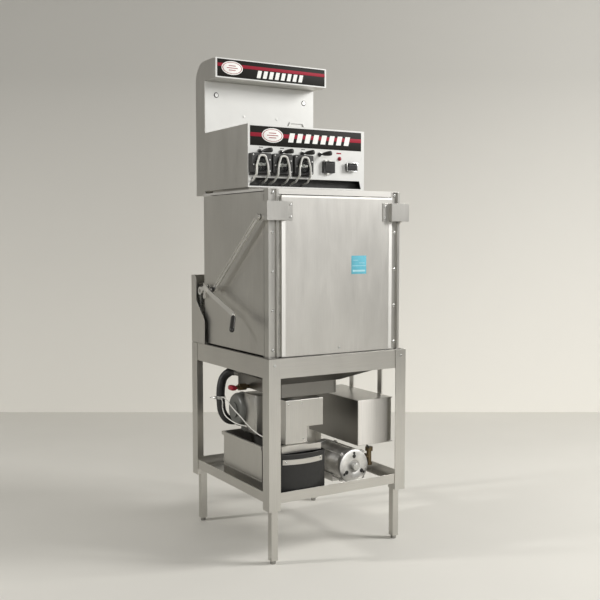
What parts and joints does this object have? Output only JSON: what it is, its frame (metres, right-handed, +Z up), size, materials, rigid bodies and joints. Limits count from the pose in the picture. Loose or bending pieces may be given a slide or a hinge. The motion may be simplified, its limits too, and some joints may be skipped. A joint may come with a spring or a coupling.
{
  "type": "commercial dishwasher",
  "caption": "Free-standing rack dishwasher on a leg frame with a lift-up front door, side levers, a control box with dosing pumps and an overhanging heat-recovery vent",
  "frame": {"origin": "on the floor under the middle of the machine's bounding box", "axes": "+X to the right of someone facing the door, -Y the front (door) side, +Z up"},
  "size_m": [0.876, 0.8, 2.18],
  "materials": {
    "stainless": "brushed",
    "stainless_dull": "satin",
    "zinc": "satin",
    "white_enamel": "satin",
    "black_enamel": "satin",
    "motor_grey": "satin",
    "cast_alloy": "cast",
    "fin_alloy": "satin",
    "brass": "satin",
    "nylon": "matte",
    "black_plastic": "matte",
    "grey_plastic": "matte",
    "red_plastic": "gloss",
    "clear_plastic": "gloss",
    "white_tube": "gloss",
    "hose_rubber": "matte"
  },
  "bodies": {
    "machine": {"legs": "stainless", "frame_rails": "stainless", "leg_extensions": "stainless", "leveling_feet": "stainless_dull", "equipment_deck": "stainless_dull", "rear_housing": "stainless", "guide_posts": "stainless", "chamber_panels": "stainless", "chamber_hood": "stainless", "sump_tank": "stainless_dull", "scrap_screens": "stainless_dull", "rack_guide": "stainless", "wash_manifold": "stainless", "door_tracks": "nylon", "shaft_bearings": "black_plastic", "lift_springs": "zinc", "control_box": "stainless", "control_panel": "white_enamel", "pump_housings": "white_enamel", "pump_covers": "clear_plastic", "squeeze_tubes": "white_tube", "switch_mounts": "black_plastic", "indicator_lamp": "red_plastic", "vent_housing": "stainless", "vent_front_panels": "white_enamel", "condenser_coil": "fin_alloy", "wash_motor": "motor_grey", "wash_pump": "cast_alloy", "suction_hose": "hose_rubber", "valves": "brass", "accumulator_box": "stainless", "motor_cover": "stainless", "front_drum": "black_enamel", "drum_brackets": "stainless", "drain_motor": "cast_alloy", "heater_box": "stainless", "body_screws": "zinc"},
    "door": {"front_door": "stainless", "door_shoes": "nylon", "door_brackets": "stainless", "door_screws": "zinc"},
    "links": {"door_links": "stainless", "link_rollers": "black_plastic"},
    "lever": {"levers": "stainless", "lever_grips": "black_plastic", "cross_shaft": "stainless_dull"},
    "lower_arm": {"lower_wash_arm": "stainless"},
    "upper_arm": {"upper_wash_arm": "stainless"},
    "rotor_1": {"pump_rotor_1": "grey_plastic"},
    "rotor_2": {"pump_rotor_2": "grey_plastic"},
    "rotor_3": {"pump_rotor_3": "grey_plastic"},
    "toggle_a": {"toggle_1": "zinc"},
    "toggle_b": {"toggle_2": "zinc"},
    "toggle_c": {"toggle_3": "zinc"},
    "toggle_d": {"toggle_4": "zinc"},
    "rocker_l": {"rocker_left": "black_plastic"},
    "rocker_r": {"rocker_right": "black_plastic"},
    "handle": {"valve_handle": "red_plastic"},
    "fan": {"vent_fan": "black_plastic"},
    "drain_hub": {"drain_motor_hub": "zinc"}
  },
  "joints": [
    {"name": "door_lift", "type": "slide", "parent": "machine", "child": "door", "axis": [0, 0, 1], "range_m": [0, 0.37]},
    {"name": "lever_turn", "type": "hinge", "parent": "machine", "child": "lever", "pos_m": [0, 0.27, 1.112], "axis": [-1, 0, 0], "range_deg": [0, 51.5], "deforming": ["lift_springs"]},
    {"name": "link_swing", "type": "hinge", "parent": "door", "child": "links", "pos_m": [0, -0.338, 1.447], "axis": [-1, 0, 0], "range_deg": [0, 17]},
    {"name": "lower_arm_spin", "type": "hinge", "parent": "machine", "child": "lower_arm", "pos_m": [0, -0.06, 0.911], "axis": [0, 0, 1], "continuous": true},
    {"name": "upper_arm_spin", "type": "hinge", "parent": "machine", "child": "upper_arm", "pos_m": [0, -0.06, 1.501], "axis": [0, 0, 1], "continuous": true},
    {"name": "rotor_1_spin", "type": "hinge", "parent": "machine", "child": "rotor_1", "pos_m": [-0.253, -0.152, 1.674], "axis": [0, 1, 0], "continuous": true},
    {"name": "rotor_2_spin", "type": "hinge", "parent": "machine", "child": "rotor_2", "pos_m": [-0.147, -0.152, 1.674], "axis": [0, 1, 0], "continuous": true},
    {"name": "rotor_3_spin", "type": "hinge", "parent": "machine", "child": "rotor_3", "pos_m": [-0.039, -0.152, 1.674], "axis": [0, 1, 0], "continuous": true},
    {"name": "toggle_a_throw", "type": "hinge", "parent": "machine", "child": "toggle_a", "pos_m": [-0.246, -0.142, 1.731], "axis": [0, 0, -1], "range_deg": [0, 76]},
    {"name": "toggle_b_throw", "type": "hinge", "parent": "machine", "child": "toggle_b", "pos_m": [-0.141, -0.142, 1.731], "axis": [0, 0, -1], "range_deg": [0, 76]},
    {"name": "toggle_c_throw", "type": "hinge", "parent": "machine", "child": "toggle_c", "pos_m": [-0.033, -0.142, 1.731], "axis": [0, 0, -1], "range_deg": [0, 76]},
    {"name": "toggle_d_throw", "type": "hinge", "parent": "machine", "child": "toggle_d", "pos_m": [0.058, -0.142, 1.731], "axis": [0, 0, -1], "range_deg": [0, 76]},
    {"name": "rocker_l_press", "type": "hinge", "parent": "machine", "child": "rocker_l", "pos_m": [0.103, -0.143, 1.676], "axis": [-1, 0, 0], "range_deg": [0, 16]},
    {"name": "rocker_r_press", "type": "hinge", "parent": "machine", "child": "rocker_r", "pos_m": [0.227, -0.143, 1.681], "axis": [-1, 0, 0], "range_deg": [0, 16]},
    {"name": "handle_turn", "type": "hinge", "parent": "machine", "child": "handle", "pos_m": [-0.315, 0, 0.69], "axis": [1, 0, 0], "range_deg": [0, 90]},
    {"name": "fan_spin", "type": "hinge", "parent": "machine", "child": "fan", "pos_m": [0, 0.3515, 2.01], "axis": [0, 0, 1], "continuous": true},
    {"name": "drain_hub_spin", "type": "hinge", "parent": "machine", "child": "drain_hub", "pos_m": [0.122, -0.321, 0.346], "axis": [0, 1, 0], "continuous": true}
  ],
  "couplings": [
    {"joint": "lever_turn", "follows": "door_lift", "rad_per_m": 2.4057},
    {"joint": "link_swing", "follows": "door_lift", "rad_per_m": 0.77832}
  ]
}
